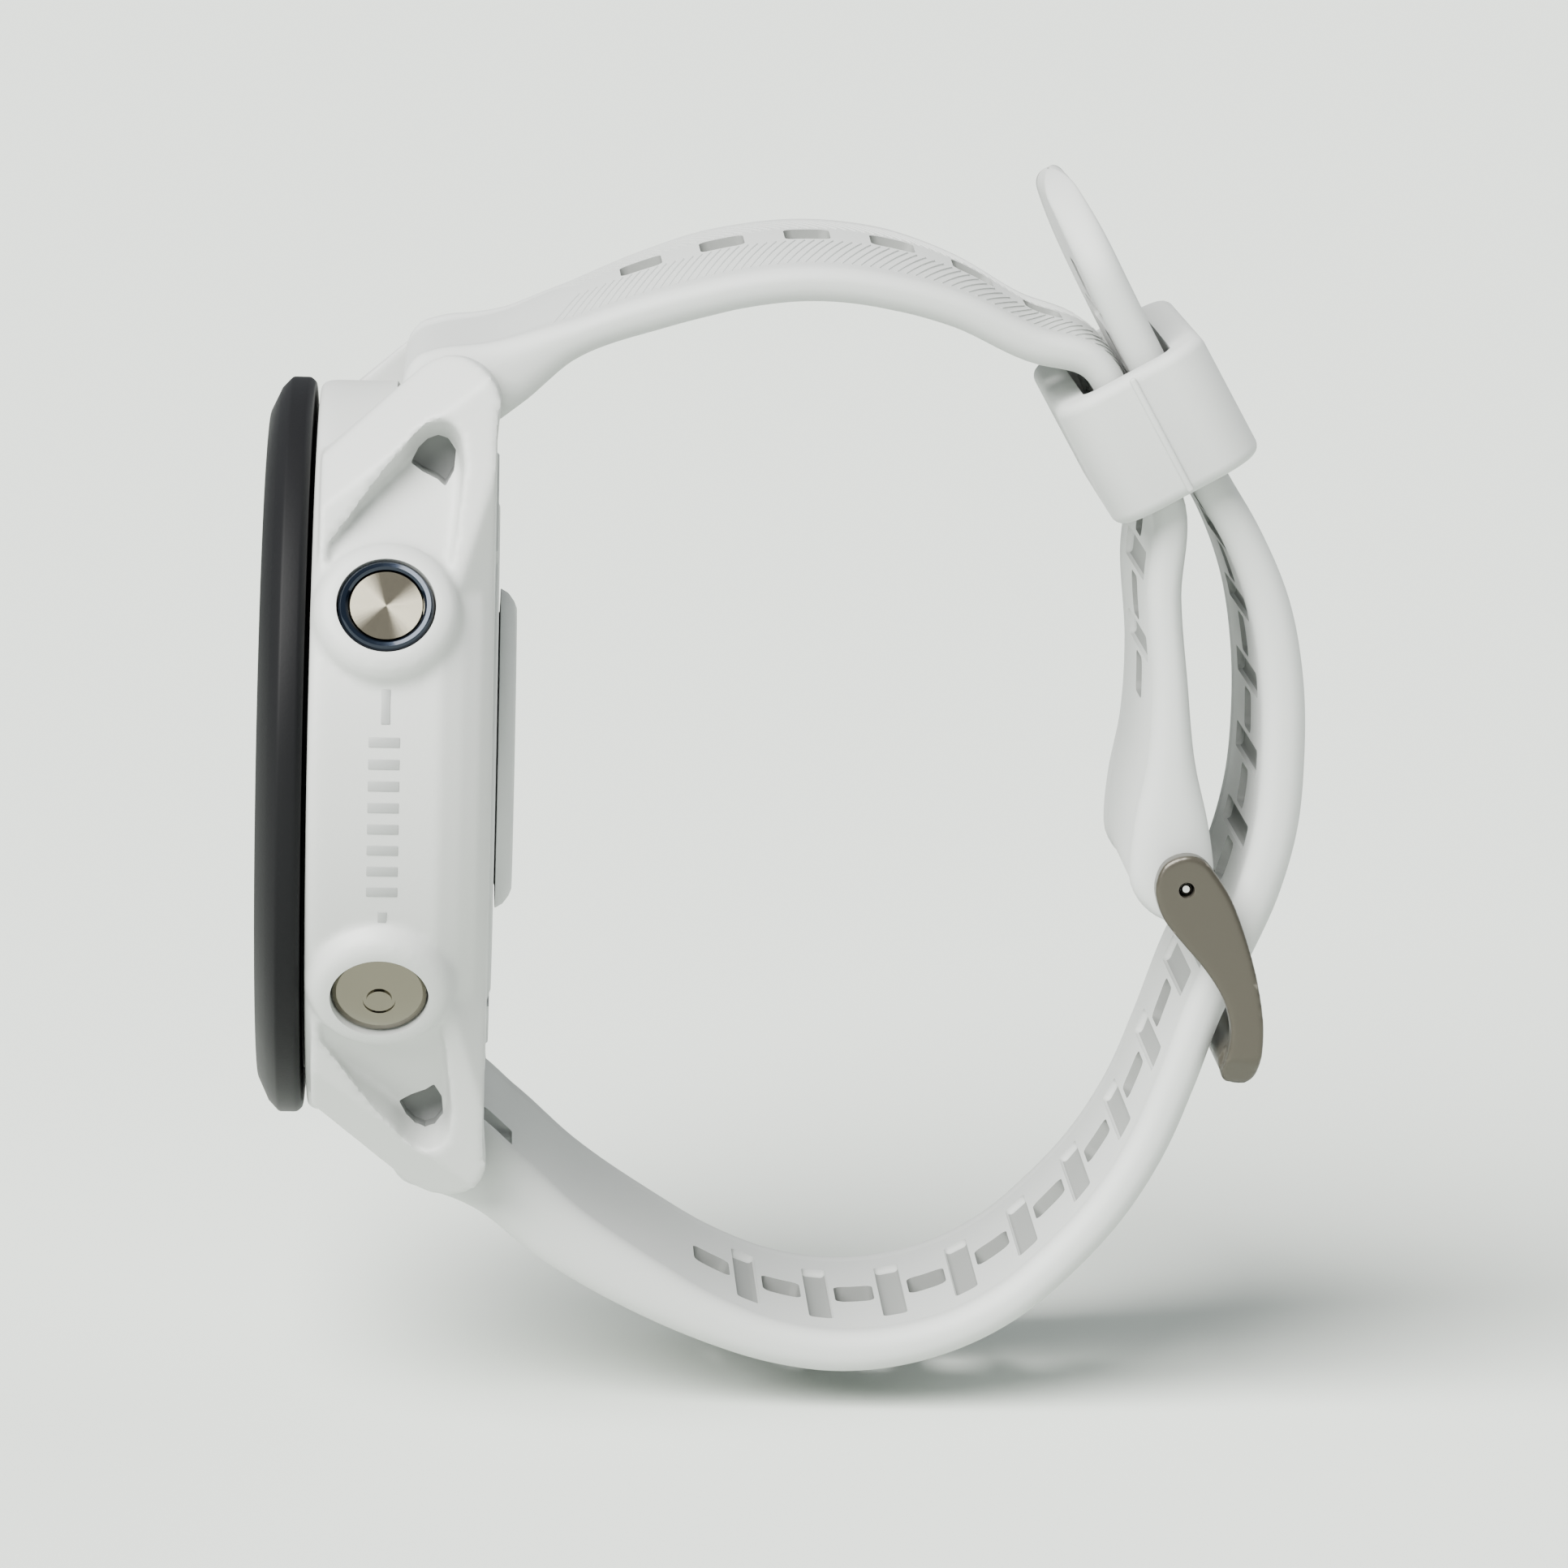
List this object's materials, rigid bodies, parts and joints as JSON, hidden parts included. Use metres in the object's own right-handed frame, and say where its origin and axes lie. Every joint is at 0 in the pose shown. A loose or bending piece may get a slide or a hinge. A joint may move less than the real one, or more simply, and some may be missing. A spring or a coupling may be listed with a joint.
{
  "type": "gps running watch",
  "caption": "Round sports watch with side push buttons, a raised back sensor and a buckled slotted silicone strap with a sliding keeper.",
  "frame": {"origin": "middle of the flat outer face of the back sensor window, which rests on the wrist", "axes": "+X towards the 3 o'clock side, +Y from the watch back towards the wrist, -Y out of the dial, +Z towards 12 o'clock"},
  "size_m": [0.0476, 0.0647, 0.0762],
  "materials": {
    "case_white": "fine satin moulded fibre-reinforced plastic",
    "cover_white": "satin moulded plastic",
    "strap_silicone": "soft matte white silicone with a faint grey-green cast",
    "bezel_black": "charcoal satin with lighter chamfers",
    "window_glass": "polished flat glass",
    "display_black": "unlit panel",
    "sensor_glass": "dark polished window over the sensors",
    "seal_rubber": "black rubber",
    "inner_plastic": "dark moulded plastic",
    "circuit_board": "green solder mask",
    "battery_foil": "foil pouch",
    "steel": "bright stainless steel",
    "brass": "thin brass disc",
    "contact_gold": "plated contacts",
    "antenna_copper": "plated antenna ring",
    "button_metal": "polished warm silver metal",
    "ring_blue": "dark blue-grey gloss ring",
    "buckle_metal": "matte taupe coated steel"
  },
  "bodies": {
    "case": {"case_middle": "case_white", "case_back": "cover_white", "back_gasket": "seal_rubber", "back_screw_1": "steel", "back_screw_2": "steel", "back_screw_3": "steel", "back_screw_4": "steel", "sensor_housing": "cover_white", "sensor_window": "sensor_glass", "sensor_board": "circuit_board", "charge_port": "inner_plastic", "charge_contact_1": "contact_gold", "charge_contact_2": "contact_gold", "charge_contact_3": "contact_gold", "charge_contact_4": "contact_gold", "bezel": "bezel_black", "cover_lens": "window_glass", "lens_gasket": "seal_rubber", "display_panel": "display_black", "inner_frame": "inner_plastic", "main_board": "circuit_board", "battery": "battery_foil", "vibration_motor": "steel", "buzzer": "brass", "gps_antenna": "antenna_copper", "button_seal_start": "seal_rubber", "button_seal_back": "seal_rubber", "button_seal_light": "seal_rubber", "button_seal_up": "seal_rubber", "button_seal_down": "seal_rubber", "switch_start": "inner_plastic", "switch_back": "inner_plastic", "switch_light": "inner_plastic", "switch_up": "inner_plastic", "switch_down": "inner_plastic"},
    "button_start": {"button_start": "button_metal", "button_start_ring": "ring_blue"},
    "button_back": {"button_back": "button_metal"},
    "button_light": {"button_light": "button_metal"},
    "button_up": {"button_up": "button_metal"},
    "button_down": {"button_down": "button_metal"},
    "strap_upper": {"strap_upper": "strap_silicone", "upper_bar_tube": "steel", "upper_bar_pin": "steel", "upper_bar_spring": "steel"},
    "strap_lower": {"strap_lower": "strap_silicone", "lower_bar_tube": "steel", "lower_bar_pin": "steel", "lower_bar_spring": "steel"},
    "upper_release": {"upper_release_pin": "steel"},
    "lower_release": {"lower_release_pin": "steel"},
    "keeper": {"strap_keeper": "strap_silicone"},
    "buckle": {"buckle_frame": "buckle_metal", "buckle_pin": "steel"},
    "prong": {"buckle_prong": "buckle_metal"}
  },
  "joints": [
    {"name": "press_start", "type": "slide", "parent": "case", "child": "button_start", "axis": [-0.866, 0, -0.5], "range_m": [0, 0.0005], "stiffness_N_per_m": 1500, "springref_m": -0.0008},
    {"name": "press_back", "type": "slide", "parent": "case", "child": "button_back", "axis": [-0.866, 0, 0.5], "range_m": [0, 0.0005], "stiffness_N_per_m": 1500, "springref_m": -0.0008},
    {"name": "press_light", "type": "slide", "parent": "case", "child": "button_light", "axis": [0.866, 0, -0.5], "range_m": [0, 0.0005], "stiffness_N_per_m": 1500, "springref_m": -0.0008},
    {"name": "press_up", "type": "slide", "parent": "case", "child": "button_up", "axis": [1, 0, 0], "range_m": [0, 0.0005], "stiffness_N_per_m": 1500, "springref_m": -0.0008},
    {"name": "press_down", "type": "slide", "parent": "case", "child": "button_down", "axis": [0.866, 0, 0.5], "range_m": [0, 0.0005], "stiffness_N_per_m": 1500, "springref_m": -0.0008},
    {"name": "upper_strap_swing", "type": "hinge", "parent": "case", "child": "strap_upper", "pos_m": [0, -0.0042, 0.0233], "axis": [1, 0, 0], "range_deg": [-0.25, 0.25], "stiffness_Nm_per_rad": 0.3},
    {"name": "lower_strap_swing", "type": "hinge", "parent": "case", "child": "strap_lower", "pos_m": [0, -0.0042, -0.0233], "axis": [1, 0, 0], "range_deg": [-0.25, 0.25], "stiffness_Nm_per_rad": 0.3},
    {"name": "upper_pin_release", "type": "slide", "parent": "strap_upper", "child": "upper_release", "axis": [-1, 0, 0], "range_m": [0, 0.0018], "stiffness_N_per_m": 800, "springref_m": -0.001},
    {"name": "lower_pin_release", "type": "slide", "parent": "strap_lower", "child": "lower_release", "axis": [-1, 0, 0], "range_m": [0, 0.0018], "stiffness_N_per_m": 800, "springref_m": -0.001},
    {"name": "keeper_slide", "type": "slide", "parent": "strap_upper", "child": "keeper", "axis": [0, 0.4955, -0.8686], "range_m": [-0.001, 0.001]},
    {"name": "buckle_swing", "type": "hinge", "parent": "strap_upper", "child": "buckle", "pos_m": [0, 0.0418, -0.0059], "axis": [1, 0, 0], "range_deg": [0, 6]},
    {"name": "prong_swing", "type": "hinge", "parent": "buckle", "child": "prong", "pos_m": [0, 0.0418, -0.0059], "axis": [1, 0, 0], "range_deg": [0, 3]}
  ]
}
